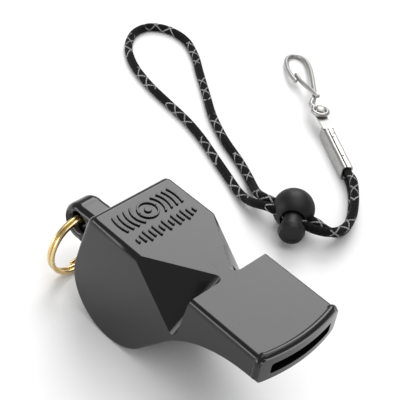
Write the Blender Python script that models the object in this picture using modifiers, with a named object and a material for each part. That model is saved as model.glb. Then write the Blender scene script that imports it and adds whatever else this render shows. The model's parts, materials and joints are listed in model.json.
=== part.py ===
"""Pealess three-chamber training whistle with a split ring and a loose wrist lanyard.

Units are metres and +Z is up.  The whistle stands on its round belly with its roof level,
its mouthpiece towards +X.  The lanyard lies beside it on the same surface.
"""

import math

import bmesh
import bpy
from mathutils import Matrix, Vector

MM = 0.001

# Whistle body: stations are measured from the roof's rear edge, heights down from the roof.
BODY_WIDTH = 19.0 * MM
BODY_HEIGHT = 24.4 * MM
BODY_REACH = 42.7 * MM          # roof's rear edge to the middle of the mouthpiece's front
REAR_WALL_X = -2.8 * MM          # the rear wall's furthest point
REAR_LEAN_DEG = 11.0             # how far the rear wall leans forward above that point
BELLY_X = 7.5 * MM
BELLY_RADIUS = 10.3 * MM
TANGENT_DEG = -37.0             # where the belly runs out into a straight ramp
THROAT_RADIUS = 24.0 * MM       # hollow sweep from the ramp to the mouthpiece's underside
LIP_HEIGHT = 5.0 * MM
ROOF_FILLET = 1.5 * MM          # along both sides of the roof
REAR_FILLET = 1.7 * MM          # across the roof's rear edge
RIM_FILLET = 0.5 * MM
FRONT_BULGE = 1.3 * MM
WALL = 1.6 * MM
GAP = 0.3 * MM                  # clearance between separate mouldings

# Side notches: a slanted facet runs into the upright back wall of the mouthpiece block.
FACET_TOP_REAR = Vector((13.56, 8.0, 0.0)) * MM
FACET_TOP_FRONT = Vector((23.45, 1.6, 0.0)) * MM
FACET_SIDE_LOW = Vector((21.6, 9.5, -9.9)) * MM
BLOCK_BACK_X = 25.0 * MM
BLOCK_BACK_LEAN = 0.16          # the back wall's set-back for each unit of depth
VALLEY_FILLET = 1.9 * MM

# Air ways
MOUTH_HALF_WIDTH = 7.3 * MM
MOUTH_TOP = -1.6 * MM
MOUTH_BOTTOM = -3.9 * MM
MOUTH_DEPTH = 8.5 * MM
CENTRE_WAY_HALF = 2.0 * MM
SIDE_WAY_INNER = 3.4 * MM
WINDOW_LENGTH = 6.2 * MM
WINDOW_WIDTH = 1.1 * MM
BELLY_WINDOW = 1.6 * MM
CORE_HALF_WIDTH = 3.1 * MM
CORE_CHANNEL_HALF = 1.9 * MM

# Lug and split ring
LUG_CENTRE = Vector((-9.8, 0.0, -12.9)) * MM
LUG_RADIUS = 4.0 * MM
LUG_HALF_WIDTH = 3.0 * MM
LUG_FILLET = 1.5 * MM
LUG_HOLE_RADIUS = 2.0 * MM
LUG_HOLE_STRAIGHT = 1.3 * MM    # half the length of the hole's narrow middle
LUG_HOLE_FLARE = 0.77           # how much the radius grows for each unit outwards from there
RING_CENTRE = Vector((-9.7, -2.8, -17.7)) * MM
RING_RADIUS = 6.2 * MM
RING_WIRE = 0.42 * MM
RING_PITCH = 0.9 * MM
RING_TURNS = 2

# Where the roof's rear edge stands in the part's frame
DATUM = Vector((-14.1 * MM, 0.0, BODY_HEIGHT))

# Lanyard
CORD_DIAMETER = 1.9 * MM
CORD_STEP = 3.4 * MM
CORD_SIDES = 2                  # bevel resolution, eight sides
CRIMPED_SHARE = 0.735           # the cord's size where the clamp squeezes it
LOCK_CENTRE = Vector((-6.3, 40.9, 4.45)) * MM
LOCK_RADIUS = 4.4 * MM
PLUNGER_HEADING = -52.0
CORD_HEADING = 14.0
STRAND_OFFSET = 1.05 * MM       # each strand's distance from the middle of the lock's hole
CORD_HOLE_FORWARD = 1.9 * MM
PLUNGER_TRAVEL = 1.5 * MM
STEM_RADIUS = 2.2 * MM
HEAD_RADIUS = 2.8 * MM
BORE_DEPTH = -3.4 * MM
CLAMP_MOUTH = Vector((-8.65, 61.63, 0.0)) * MM
RIVET_FOOT = Vector((-25.42, 71.58, 0.0)) * MM
RIVET_HEIGHT = 3.75 * MM        # height of the hook wire's middle at the rivet
SHEET = 0.35 * MM
CRIMP_LENGTH = 14.6 * MM
CRIMP_WIDTH = 2.5 * MM
CRIMP_HEIGHT = 3.7 * MM
HOOK_HEADING = 142.9
HOOK_PITCH = -6.9
HOOK_WIRE = 0.55 * MM

part = bpy.data.collections.new("training_whistle")
cutters = bpy.data.collections.new("cutters")


# ---------------------------------------------------------------- helpers
def link(name, mesh, collection, matrix=None):
    """Put a mesh in the scene as a named object."""
    obj = bpy.data.objects.new(name, mesh)
    collection.objects.link(obj)
    if matrix is not None:
        obj.matrix_world = matrix
    if collection is cutters:
        obj.hide_render = True
        obj.display_type = "WIRE"
    return obj


def mesh_from_bmesh(name, bm):
    mesh = bpy.data.meshes.new(name)
    bm.to_mesh(mesh)
    bm.free()
    return mesh


def mesh_from_curve(name, curve, matrix):
    """Turn a curve into a welded mesh, with a transform baked in."""
    holder = bpy.data.objects.new(name + "_outline", curve)
    bpy.context.scene.collection.objects.link(holder)
    evaluated = holder.evaluated_get(bpy.context.evaluated_depsgraph_get())
    mesh = bpy.data.meshes.new_from_object(evaluated)
    mesh.name = name
    bpy.data.objects.remove(holder)
    bm = bmesh.new()
    bm.from_mesh(mesh)
    bmesh.ops.remove_doubles(bm, verts=bm.verts, dist=1e-7)
    bmesh.ops.dissolve_limit(bm, angle_limit=math.radians(0.05), verts=bm.verts, edges=bm.edges)
    bmesh.ops.transform(bm, matrix=matrix, verts=bm.verts)
    bmesh.ops.recalc_face_normals(bm, faces=bm.faces)
    bm.to_mesh(mesh)
    bm.free()
    return mesh


def arc(centre, radius, start, end, steps):
    """Points along an arc, with its angles in degrees from +X towards +Z."""
    points = []
    for index in range(steps + 1):
        angle = math.radians(start + (end - start) * index / steps)
        points.append((centre[0] + radius * math.cos(angle), centre[1] + radius * math.sin(angle)))
    return points


def outline_mesh(name, points, half_width, matrix=Matrix.Identity(4)):
    """A solid from an X-Z outline, extruded the same way to both sides along Y."""
    curve = bpy.data.curves.new(name, "CURVE")
    curve.dimensions = "2D"
    curve.fill_mode = "BOTH"
    curve.extrude = half_width
    spline = curve.splines.new("POLY")
    spline.points.add(len(points) - 1)
    for point, (x, z) in zip(spline.points, points):
        point.co = (x, z, 0.0, 1.0)
    spline.use_cyclic_u = True
    upright = Matrix.Rotation(math.radians(90.0), 4, "X")
    return mesh_from_curve(name, curve, matrix @ upright)


def box_mesh(name, low, high):
    bm = bmesh.new()
    size = Vector(high) - Vector(low)
    middle = (Vector(high) + Vector(low)) / 2.0
    place = Matrix.Translation(middle) @ Matrix.Diagonal((*size, 1.0))
    bmesh.ops.create_cube(bm, size=1.0, matrix=place)
    return mesh_from_bmesh(name, bm)


def cylinder_mesh(name, radius, depth, segments, matrix=Matrix.Identity(4)):
    bm = bmesh.new()
    bmesh.ops.create_cone(bm, cap_ends=True, segments=segments, radius1=radius, radius2=radius,
                          depth=depth, matrix=matrix)
    return mesh_from_bmesh(name, bm)


def boolean(obj, cutter, operation):
    """Add a live Boolean that joins, cuts or trims with another object."""
    modifier = obj.modifiers.new(operation.lower() + "_" + cutter.name, "BOOLEAN")
    modifier.operation = operation
    modifier.object = cutter
    modifier.solver = "EXACT"


def turned_object(name, profile, matrix, collection, steps=32):
    """A turned solid: a profile of (radius, height) pairs, top to bottom, spun about Z."""
    bm = bmesh.new()
    verts = [bm.verts.new((radius, 0.0, height)) for radius, height in profile]
    for first, second in zip(verts, verts[1:]):
        bm.edges.new((first, second))
    obj = link(name, mesh_from_bmesh(name, bm), collection, matrix)
    screw = obj.modifiers.new("turn", "SCREW")
    screw.axis = "Z"
    screw.steps = steps
    screw.render_steps = steps
    screw.use_merge_vertices = True
    screw.merge_threshold = 1e-6
    return obj


def wire_object(name, points, radius, sides=2, radii=None, tilt=0.0):
    """A round wire along a list of points, with closed ends and its flats turned by a tilt."""
    curve = bpy.data.curves.new(name, "CURVE")
    curve.dimensions = "3D"
    curve.bevel_depth = radius
    curve.bevel_resolution = sides
    curve.use_fill_caps = True
    spline = curve.splines.new("POLY")
    spline.points.add(len(points) - 1)
    for index, (point, place) in enumerate(zip(spline.points, points)):
        point.co = (*place, 1.0)
        point.radius = radii[index] if radii else 1.0
        point.tilt = tilt
    obj = bpy.data.objects.new(name, curve)
    part.objects.link(obj)
    return obj


def smooth_route(points, step):
    """Even points along a centripetal Catmull-Rom curve through a hand-chosen route."""
    ends = [points[0] * 2 - points[1]] + points + [points[-1] * 2 - points[-2]]
    dense = []
    for p0, p1, p2, p3 in zip(ends, ends[1:], ends[2:], ends[3:]):
        t1 = (p1 - p0).length ** 0.5
        t2 = t1 + (p2 - p1).length ** 0.5
        t3 = t2 + (p3 - p2).length ** 0.5
        for part_way in range(12):
            t = t1 + (t2 - t1) * part_way / 12
            a1 = p0 * ((t1 - t) / t1) + p1 * (t / t1)
            a2 = p1 * ((t2 - t) / (t2 - t1)) + p2 * ((t - t1) / (t2 - t1))
            a3 = p2 * ((t3 - t) / (t3 - t2)) + p3 * ((t - t2) / (t3 - t2))
            b1 = a1 * ((t2 - t) / t2) + a2 * (t / t2)
            b2 = a2 * ((t3 - t) / (t3 - t1)) + a3 * ((t - t1) / (t3 - t1))
            dense.append(b1 * ((t2 - t) / (t2 - t1)) + b2 * ((t - t1) / (t2 - t1)))
    dense.append(points[-1])
    length = sum((b - a).length for a, b in zip(dense, dense[1:]))
    count = round(length / step)
    even = [dense[0]]
    travelled = 0.0
    for a, b in zip(dense, dense[1:]):
        span = (b - a).length
        while len(even) < count and travelled + span >= length * len(even) / count:
            share = (length * len(even) / count - travelled) / span
            even.append(a.lerp(b, share))
        travelled += span
    even.append(dense[-1])
    return even, length


def material(name, colour, roughness, metallic=0.0):
    """A plain Principled material in a given linear colour."""
    made = bpy.data.materials.new(name)
    made.use_nodes = True
    shader = made.node_tree.nodes["Principled BSDF"]
    shader.inputs["Base Color"].default_value = (*colour, 1.0)
    shader.inputs["Roughness"].default_value = roughness
    shader.inputs["Metallic"].default_value = metallic
    return made


def finish(obj, surface, sharp_deg=35.0):
    """Give a piece its material, and smooth its round faces."""
    obj.data.materials.append(surface)
    if obj.type == "MESH":
        obj.data.shade_smooth()
        obj.data.set_sharp_from_angle(angle=math.radians(sharp_deg))


def heading(degrees):
    """A level unit vector at a compass angle from +X towards +Y."""
    return Vector((math.cos(math.radians(degrees)), math.sin(math.radians(degrees)), 0.0))


def along(direction, origin):
    """A matrix at origin whose local Z points along a direction."""
    turn = direction.to_track_quat("Z", "Y").to_matrix().to_4x4()
    return Matrix.Translation(origin) @ turn


# ---------------------------------------------------------------- whistle outlines
def throat_centre():
    """Centre of the hollow sweep that carries the ramp on to the mouthpiece."""
    angle = math.radians(90.0 + TANGENT_DEG)
    start = (20.2 * MM, -14.9 * MM)
    return (start[0] + THROAT_RADIUS * math.sin(angle), start[1] - THROAT_RADIUS * math.cos(angle))


def body_outline():
    """Side view of the moulding: roof edge, rear wall, belly, ramp, throat, lip and front."""
    belly = (BELLY_X, BELLY_RADIUS - BODY_HEIGHT)
    lean = 180.0 - REAR_LEAN_DEG
    points = arc((1.15 * MM, -REAR_FILLET), REAR_FILLET, 90.0, lean, 6)
    points += arc(belly, BELLY_RADIUS, lean, 360.0 + TANGENT_DEG, 30)
    points += arc(throat_centre(), THROAT_RADIUS, 143.0, 94.0, 10)
    points.append((BODY_REACH + 2.0 * MM, -LIP_HEIGHT))
    points.append((BODY_REACH + 2.0 * MM, 0.0))
    return points


def facet_plane(side, depth=0.0):
    """A point on the notch's slanted face and its outward normal, set in by a depth."""
    flip = Vector((1.0, side, 1.0))
    corners = [FACET_TOP_REAR * flip, FACET_TOP_FRONT * flip, FACET_SIDE_LOW * flip]
    normal = (corners[1] - corners[0]).cross(corners[2] - corners[0]).normalized()
    if normal.x < 0.0:
        normal = -normal
    return corners[0] - normal * depth, normal


def notch_mesh(name, side, depth=0.0, fillet=VALLEY_FILLET):
    """The wedge that a side notch takes out of the body, or the same wedge set in by a depth."""
    bm = bmesh.new()
    reach = 30.0 * MM
    low = Vector((4.0 * MM, 0.05 * MM, -reach))
    high = Vector((34.0 * MM, reach, 6.0 * MM))
    place = Matrix.Translation((low + high) / 2.0) @ Matrix.Diagonal((*(high - low), 1.0))
    bmesh.ops.create_cube(bm, size=1.0, matrix=place)
    bmesh.ops.scale(bm, vec=(1.0, side, 1.0), verts=bm.verts)
    point, normal = facet_plane(side, depth)
    wall_normal = Vector((1.0, 0.0, -BLOCK_BACK_LEAN)).normalized()
    for place_at, outward, keep in ((point, normal, "outer"),
                                    (Vector((BLOCK_BACK_X + depth, 0.0, 0.0)), wall_normal, "inner")):
        geometry = bm.verts[:] + bm.edges[:] + bm.faces[:]
        bmesh.ops.bisect_plane(bm, geom=geometry, plane_co=place_at, plane_no=outward,
                               clear_outer=keep == "inner", clear_inner=keep == "outer")
        rim = [edge for edge in bm.edges if edge.is_boundary]
        bmesh.ops.holes_fill(bm, edges=rim, sides=0)
    bmesh.ops.recalc_face_normals(bm, faces=bm.faces)
    if fillet:
        valley = [edge for edge in bm.edges if len(edge.link_faces) == 2
                  and any(face.normal.dot(normal) < -0.999 for face in edge.link_faces)
                  and any(face.normal.dot(wall_normal) > 0.999 for face in edge.link_faces)]
        bmesh.ops.bevel(bm, geom=valley, offset=fillet, segments=5, profile=0.5, affect="EDGES")
    return mesh_from_bmesh(name, bm)


def cavity_outline():
    """Side view of the chambers' hollow, open through the belly between the side walls."""
    belly = (BELLY_X, BELLY_RADIUS - BODY_HEIGHT)
    rear = REAR_WALL_X + WALL + 0.2 * MM
    points = [(rear + 2.1 * MM, -WALL), (23.0 * MM, -WALL), (23.0 * MM, -4.0 * MM), (21.5 * MM, -8.0 * MM)]
    points.append((19.0 * MM, -13.9 * MM))
    points.append((14.9 * MM, -19.0 * MM))
    points += arc(belly, BELLY_RADIUS + 1.2 * MM, -33.0, -173.0, 26)
    points.append((rear, -15.3 * MM))
    points.append((rear, -12.1 * MM))
    return points


def core_outline():
    """Side view of the core that divides the hollow into three chambers."""
    belly = (BELLY_X, BELLY_RADIUS - BODY_HEIGHT)
    top = -WALL - GAP
    points = [(REAR_WALL_X + WALL + 2.9 * MM, top), (18.6 * MM, top), (18.6 * MM, -9.0 * MM)]
    points.append((17.2 * MM, -13.0 * MM))
    points += arc(belly, BELLY_RADIUS - WALL - GAP, 0.0, -171.0, 20)
    return points


def belly_outline():
    """Side view of the curved plate that closes the belly."""
    belly = (BELLY_X, BELLY_RADIUS - BODY_HEIGHT)
    outer = arc(belly, BELLY_RADIUS, -35.0, -171.0, 26)
    inner = arc(belly, BELLY_RADIUS - WALL, -171.0, -35.0, 22)
    return outer + inner


def lug_outline():
    """Side view of the ring lug, run into the rear wall."""
    centre = (LUG_CENTRE.x, LUG_CENTRE.z)
    points = [(REAR_WALL_X + 1.3 * MM, -8.4 * MM)]
    points += arc(centre, LUG_RADIUS, 82.0, 278.0, 18)
    points.append((REAR_WALL_X + 0.6 * MM, -17.4 * MM))
    return points


# ---------------------------------------------------------------- whistle pieces
def round_rim(bm):
    """Weight the outline's edges: a full fillet along the roof, a small one round the rest."""
    layer = bm.edges.layers.float.new("bevel_weight_edge")
    half = BODY_WIDTH / 2.0
    for edge in bm.edges:
        on_side = all(abs(abs(vert.co.y) - half) < 1e-6 for vert in edge.verts)
        same_side = edge.verts[0].co.y * edge.verts[1].co.y > 0.0
        if not (on_side and same_side):
            continue
        middle = (edge.verts[0].co + edge.verts[1].co) / 2.0
        depth = min(1.0, max(0.0, -middle.z / (3.0 * ROOF_FILLET)))
        edge[layer] = 1.0 + (RIM_FILLET / ROOF_FILLET - 1.0) * depth


def build_body(surface):
    mesh = outline_mesh("whistle_body", body_outline(), BODY_WIDTH / 2.0)
    bm = bmesh.new()
    bm.from_mesh(mesh)
    round_rim(bm)
    bm.to_mesh(mesh)
    bm.free()
    body = link("whistle_body", mesh, part, Matrix.Translation(DATUM))
    bevel = body.modifiers.new("rim", "BEVEL")
    bevel.width = ROOF_FILLET
    bevel.segments = 4
    bevel.limit_method = "WEIGHT"

    def tool(name, mesh_data):
        return link(name, mesh_data, cutters, Matrix.Translation(DATUM))

    half = BODY_WIDTH / 2.0
    plan_radius = (half ** 2 + FRONT_BULGE ** 2) / (2.0 * FRONT_BULGE)
    plan_middle = Matrix.Translation((BODY_REACH - plan_radius, 0.0, 0.0))
    boolean(body, tool("front_round", cylinder_mesh("front_round", plan_radius, 0.1, 128, plan_middle)),
            "INTERSECT")

    lug = tool("lug_form", outline_mesh("lug_form", lug_outline(), LUG_HALF_WIDTH))
    soften = lug.modifiers.new("soft", "BEVEL")
    soften.width = LUG_FILLET
    soften.segments = 3
    soften.limit_method = "ANGLE"
    soften.angle_limit = math.radians(60.0)
    boolean(body, lug, "UNION")

    boolean(body, tool("bite_bead", bead_mesh()), "UNION")

    for side, label in ((-1.0, "right"), (1.0, "left")):
        boolean(body, tool("notch_" + label, notch_mesh("notch_" + label, side)), "DIFFERENCE")

    hollow = tool("hollow", outline_mesh("hollow", cavity_outline(), half - WALL))
    for side, label in ((-1.0, "right"), (1.0, "left")):
        skin = tool("skin_" + label, notch_mesh("skin_" + label, side, WALL, 0.0))
        boolean(hollow, skin, "DIFFERENCE")
    boolean(body, hollow, "DIFFERENCE")

    front = BODY_REACH + 3.0 * MM
    mouth_end = BODY_REACH - MOUTH_DEPTH
    boolean(body, tool("mouth", box_mesh("mouth", (mouth_end, -MOUTH_HALF_WIDTH, MOUTH_BOTTOM),
                                         (front, MOUTH_HALF_WIDTH, MOUTH_TOP))), "DIFFERENCE")
    ways = {"centre_way": (-CENTRE_WAY_HALF, CENTRE_WAY_HALF, 20.0 * MM),
            "right_way": (-MOUTH_HALF_WIDTH, -SIDE_WAY_INNER, 23.5 * MM),
            "left_way": (SIDE_WAY_INNER, MOUTH_HALF_WIDTH, 23.5 * MM)}
    for name, (low_y, high_y, rear) in ways.items():
        way = box_mesh(name, (rear, low_y, MOUTH_BOTTOM), (mouth_end + 1.0 * MM, high_y, MOUTH_TOP))
        boolean(body, tool(name, way), "DIFFERENCE")

    for side, label in ((-1.0, "right"), (1.0, "left")):
        boolean(body, tool("window_" + label, window_mesh("window_" + label, side)), "DIFFERENCE")

    outer = 6.0 * MM
    wide = LUG_HOLE_RADIUS + (outer - LUG_HOLE_STRAIGHT) * LUG_HOLE_FLARE
    profile = [(0.0, outer), (wide, outer), (LUG_HOLE_RADIUS, LUG_HOLE_STRAIGHT),
               (LUG_HOLE_RADIUS, -LUG_HOLE_STRAIGHT), (wide, -outer), (0.0, -outer)]
    crosswise = Matrix.Translation(DATUM + LUG_CENTRE) @ Matrix.Rotation(math.radians(90.0), 4, "X")
    boolean(body, turned_object("lug_hole", profile, crosswise, cutters, 24), "DIFFERENCE")
    finish(body, surface)
    return body


def bead_mesh():
    """Bite bead: a round ridge over the mouthpiece's top and down both sides, near its front."""
    half = BODY_WIDTH / 2.0
    sink = 0.25 * MM
    radius = 0.62 * MM
    setback = 1.2 * MM
    plan_radius = (half ** 2 + FRONT_BULGE ** 2) / (2.0 * FRONT_BULGE)
    points = []
    for index in range(15):
        y = (half - ROOF_FILLET) * (index / 7.0 - 1.0)
        x = BODY_REACH - setback - y * y / (2.0 * plan_radius)
        points.append((x, y, -sink))
    edge_x = BODY_REACH - setback - (half - sink) ** 2 / (2.0 * plan_radius)
    corner = ROOF_FILLET - sink
    for side in (-1.0, 1.0):
        bend = []
        for angle in (30.0, 60.0, 90.0):
            y = side * (half - ROOF_FILLET + corner * math.sin(math.radians(angle)))
            z = -ROOF_FILLET + corner * math.cos(math.radians(angle))
            bend.append((edge_x, y, z))
        bend.append((edge_x, side * (half - sink), -LIP_HEIGHT + 0.9 * MM))
        points = bend[::-1] + points if side < 0.0 else points + bend
    curve = bpy.data.curves.new("bite_bead", "CURVE")
    curve.dimensions = "3D"
    curve.bevel_depth = radius
    curve.bevel_resolution = 3
    curve.use_fill_caps = True
    spline = curve.splines.new("POLY")
    spline.points.add(len(points) - 1)
    for point, place in zip(spline.points, points):
        point.co = (*place, 1.0)
    return mesh_from_curve("bite_bead", curve, Matrix.Identity(4))


def window_mesh(name, side):
    """Slit through a notch's slanted face, beside the valley, into the side chamber."""
    _, normal = facet_plane(side)
    valley_low = Vector((24.0, 9.5 * side, -11.9)) * MM
    valley_high = Vector((24.8, 1.6 * side, 0.0)) * MM
    line = (valley_low - valley_high).normalized()
    across = normal.cross(line).normalized()
    if across.x > 0.0:
        across = -across
    middle = valley_high.lerp(valley_low, 0.5) + across * 2.4 * MM
    place = Matrix((line, across, normal)).transposed().to_4x4()
    place.translation = middle
    bm = bmesh.new()
    size = Matrix.Diagonal((WINDOW_LENGTH, WINDOW_WIDTH, 4.4 * MM, 1.0))
    bmesh.ops.create_cube(bm, size=1.0, matrix=place @ size)
    bmesh.ops.recalc_face_normals(bm, faces=bm.faces)
    return mesh_from_bmesh(name, bm)


def build_belly_plate(surface):
    half = BODY_WIDTH / 2.0 - WALL - GAP
    plate = link("belly_plate", outline_mesh("belly_plate", belly_outline(), half), part,
                 Matrix.Translation(DATUM))
    low = (12.0 * MM, -CENTRE_WAY_HALF, -30.0 * MM)
    high = (30.0 * MM, CENTRE_WAY_HALF, -BODY_HEIGHT + BELLY_RADIUS - 5.1 * MM)
    edge_notch = link("belly_window", box_mesh("belly_window", low, high), cutters,
                      Matrix.Translation(DATUM + Vector((BELLY_WINDOW, 0.0, 0.0))))
    boolean(plate, edge_notch, "DIFFERENCE")
    finish(plate, surface)


def build_core(surface):
    core = link("chamber_core", outline_mesh("chamber_core", core_outline(), CORE_HALF_WIDTH), part,
                Matrix.Translation(DATUM))
    low = (-5.0 * MM, -CORE_CHANNEL_HALF, -30.0 * MM)
    high = (30.0 * MM, CORE_CHANNEL_HALF, -WALL - GAP - 1.4 * MM)
    channel = link("core_channel", box_mesh("core_channel", low, high), cutters,
                   Matrix.Translation(DATUM))
    boolean(core, channel, "DIFFERENCE")
    for side, label in ((-1.0, "right"), (1.0, "left")):
        trim = link("core_trim_" + label, notch_mesh("core_trim_" + label, side, WALL + GAP, 0.0),
                    cutters, Matrix.Translation(DATUM))
        boolean(core, trim, "DIFFERENCE")
    finish(core, surface)


def build_ring(surface):
    """Two close turns of wire through the lug's hole, hanging upright on its lower edge."""
    middle = DATUM + RING_CENTRE
    points = []
    steps = 32
    for index in range(steps * RING_TURNS + 1):
        angle = math.radians(-90.0) + 2.0 * math.pi * index / steps
        shift = RING_PITCH * (index / steps - RING_TURNS / 2.0)
        points.append(middle + Vector((shift, RING_RADIUS * math.cos(angle), RING_RADIUS * math.sin(angle))))
    ring = wire_object("split_ring", points, RING_WIRE, tilt=math.radians(9.0))
    finish(ring, surface)


# ---------------------------------------------------------------- lanyard
def strand(level):
    """One strand from the lock to the clamp; level is +1 for the upper strand, -1 for the lower."""
    middle = [(1.6, 41.7, 4.0), (2.7, 43.5, 3.3), (3.0, 45.7, 2.65), (2.6, 48.2, 2.15),
              (1.5, 51.0, 2.0), (-0.4, 54.0, 2.0), (-2.8, 57.0, 2.0), (-5.7, 59.9, 2.0),
              (-8.65, 61.63, 1.875), (-15.6, 65.75, 1.875)]
    apart = [(0.62, -0.72, 0.42), (0.62, -0.35, 0.75), (0.45, -0.1, 0.93), (0.3, -0.2, 0.97),
             (0.3, -0.3, 0.95), (0.25, -0.25, 0.97), (0.15, -0.15, 1.0), (0.0, 0.0, 1.01),
             (0.0, 0.0, 0.725), (0.0, 0.0, 0.725)]
    return [(Vector(place) + Vector(offset) * level) * MM for place, offset in zip(middle, apart)]


LOOP = [(-13.0, 39.0, 3.9), (-15.6, 40.2, 2.6), (-18.6, 42.2, 1.5), (-21.8, 44.1, 1.05),
        (-26.0, 46.0, 1.0),
        (-33.0, 48.6, 1.0), (-40.6, 52.4, 1.0), (-47.4, 57.0, 1.0), (-54.4, 61.8, 1.0),
        (-60.2, 65.8, 1.0), (-66.2, 68.4, 1.0), (-71.7, 67.9, 1.0), (-75.2, 64.9, 1.0),
        (-75.5, 60.4, 1.0), (-72.4, 55.4, 1.0), (-66.8, 51.5, 1.0), (-58.8, 48.8, 1.0),
        (-49.8, 47.4, 1.0), (-43.3, 46.5, 1.0), (-37.2, 45.0, 1.0), (-29.6, 42.3, 1.0),
        (-23.5, 40.1, 1.0), (-19.2, 38.4, 1.3), (-15.6, 37.3, 2.1), (-12.6, 36.7, 3.6)]


def cord_route():
    """Clamp, lower strand, lock, loop, lock, upper strand and clamp again."""
    forward = heading(CORD_HEADING)
    across = heading(CORD_HEADING - 90.0) * STRAND_OFFSET
    hole = LOCK_CENTRE + heading(PLUNGER_HEADING) * CORD_HOLE_FORWARD
    through = [forward * reach * MM for reach in (5.0, 4.2, 1.5, -1.5, -4.4, -5.2)]
    route = strand(-1.0)[::-1]
    route += [hole - across + run for run in through]
    route += [Vector(place) * MM for place in LOOP]
    route += [hole + across + run for run in through[::-1]]
    return route + strand(1.0)


def build_cord(surface):
    points, length = smooth_route(cord_route(), CORD_STEP)
    radii = []
    ease = 4.0 * MM
    squeezed = (Vector((-15.6, 65.75, 0.0)) * MM - CLAMP_MOUTH).length
    for index in range(len(points)):
        place = length * index / (len(points) - 1)
        from_end = min(place, length - place)
        share = min(1.0, max(0.0, (from_end - squeezed) / ease))
        radii.append(CRIMPED_SHARE + (1.0 - CRIMPED_SHARE) * share)
    cord = wire_object("lanyard_cord", points, CORD_DIAMETER / 2.0, CORD_SIDES, radii)
    finish(cord, surface)


def stadium(name, half_length, radius, depth, matrix):
    """A slot-shaped bar: two round ends and straight flanks."""
    points = arc((half_length, 0.0), radius, -90.0, 90.0, 8) + arc((-half_length, 0.0), radius, 90.0, 270.0, 8)
    return outline_mesh(name, points, depth / 2.0, matrix)


def level_frame(origin, y_heading):
    """A frame at origin whose Y runs along a heading and whose Z is up."""
    turn = Matrix.Rotation(math.radians(y_heading - 90.0), 4, "Z")
    return Matrix.Translation(origin) @ turn


def build_lock(barrel_surface, plunger_surface, spring_surface):
    press = heading(PLUNGER_HEADING)
    hole = LOCK_CENTRE + press * CORD_HOLE_FORWARD
    clear = CORD_DIAMETER / 2.0 + 0.17 * MM
    bm = bmesh.new()
    bmesh.ops.create_uvsphere(bm, u_segments=32, v_segments=18, radius=LOCK_RADIUS)
    barrel = link("cord_lock_barrel", mesh_from_bmesh("cord_lock_barrel", bm), part,
                  Matrix.Translation(LOCK_CENTRE))
    bore_length = 12.0 * MM
    bore_middle = LOCK_CENTRE + press * (BORE_DEPTH + bore_length / 2.0)
    bore = link("lock_bore", cylinder_mesh("lock_bore", STEM_RADIUS + GAP, bore_length, 32), cutters,
                along(press, bore_middle))
    boolean(barrel, bore, "DIFFERENCE")
    cord_way = link("lock_cord_way", stadium("lock_cord_way", STRAND_OFFSET, clear, 30.0 * MM,
                                             level_frame(hole, CORD_HEADING)), cutters)
    boolean(barrel, cord_way, "DIFFERENCE")
    finish(barrel, barrel_surface)

    profile = [(0.0, 7.9), (1.7, 7.85), (2.3, 7.6), (2.7, 7.2), (2.8, 6.9), (2.7, 6.5), (2.2, 6.4),
               (2.2, -0.75), (2.05, -0.9), (0.0, -0.9)]
    plunger = turned_object("cord_lock_plunger", [(r * MM, z * MM) for r, z in profile],
                            along(press, LOCK_CENTRE), part)
    slot_middle = hole + press * (PLUNGER_TRAVEL / 2.0 + 0.1 * MM)
    slot_half = STRAND_OFFSET + PLUNGER_TRAVEL / 2.0 - 0.05 * MM
    slot = link("plunger_slot", stadium("plunger_slot", slot_half, clear, 20.0 * MM,
                                        level_frame(slot_middle, CORD_HEADING)), cutters)
    boolean(plunger, slot, "DIFFERENCE")
    finish(plunger, plunger_surface)

    frame = along(press, LOCK_CENTRE)
    coil = []
    turns = 2.25
    count = 28
    for index in range(count + 1):
        angle = 2.0 * math.pi * turns * index / count
        height = BORE_DEPTH + 0.22 * MM + 0.56 * MM * index / count
        coil.append(frame @ Vector((1.6 * MM * math.cos(angle), 1.6 * MM * math.sin(angle), height)))
    spring = wire_object("cord_lock_spring", coil, 0.11 * MM)
    finish(spring, spring_surface)


def crimp_section():
    """The clamp's wrapped sheet seen from its end: seam, near wall, floor, far wall and top."""
    half = CRIMP_WIDTH / 2.0 - SHEET / 2.0
    floor = 0.05 * MM + SHEET / 2.0
    top = CRIMP_HEIGHT - SHEET / 2.0
    corner = 0.75 * MM
    points = [(-half * 0.35, top)]
    points += arc((-half + corner, top - corner), corner, 100.0, 180.0, 4)
    points += arc((-half + corner, floor + corner), corner, 180.0, 270.0, 4)
    points += arc((half - corner, floor + corner), corner, -90.0, 0.0, 4)
    points += arc((half - 0.4 * MM, top - 0.4 * MM), 0.4 * MM, 0.0, 90.0, 3)
    points.append((-half * 0.35 + SHEET * 0.9, top))
    return points


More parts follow.
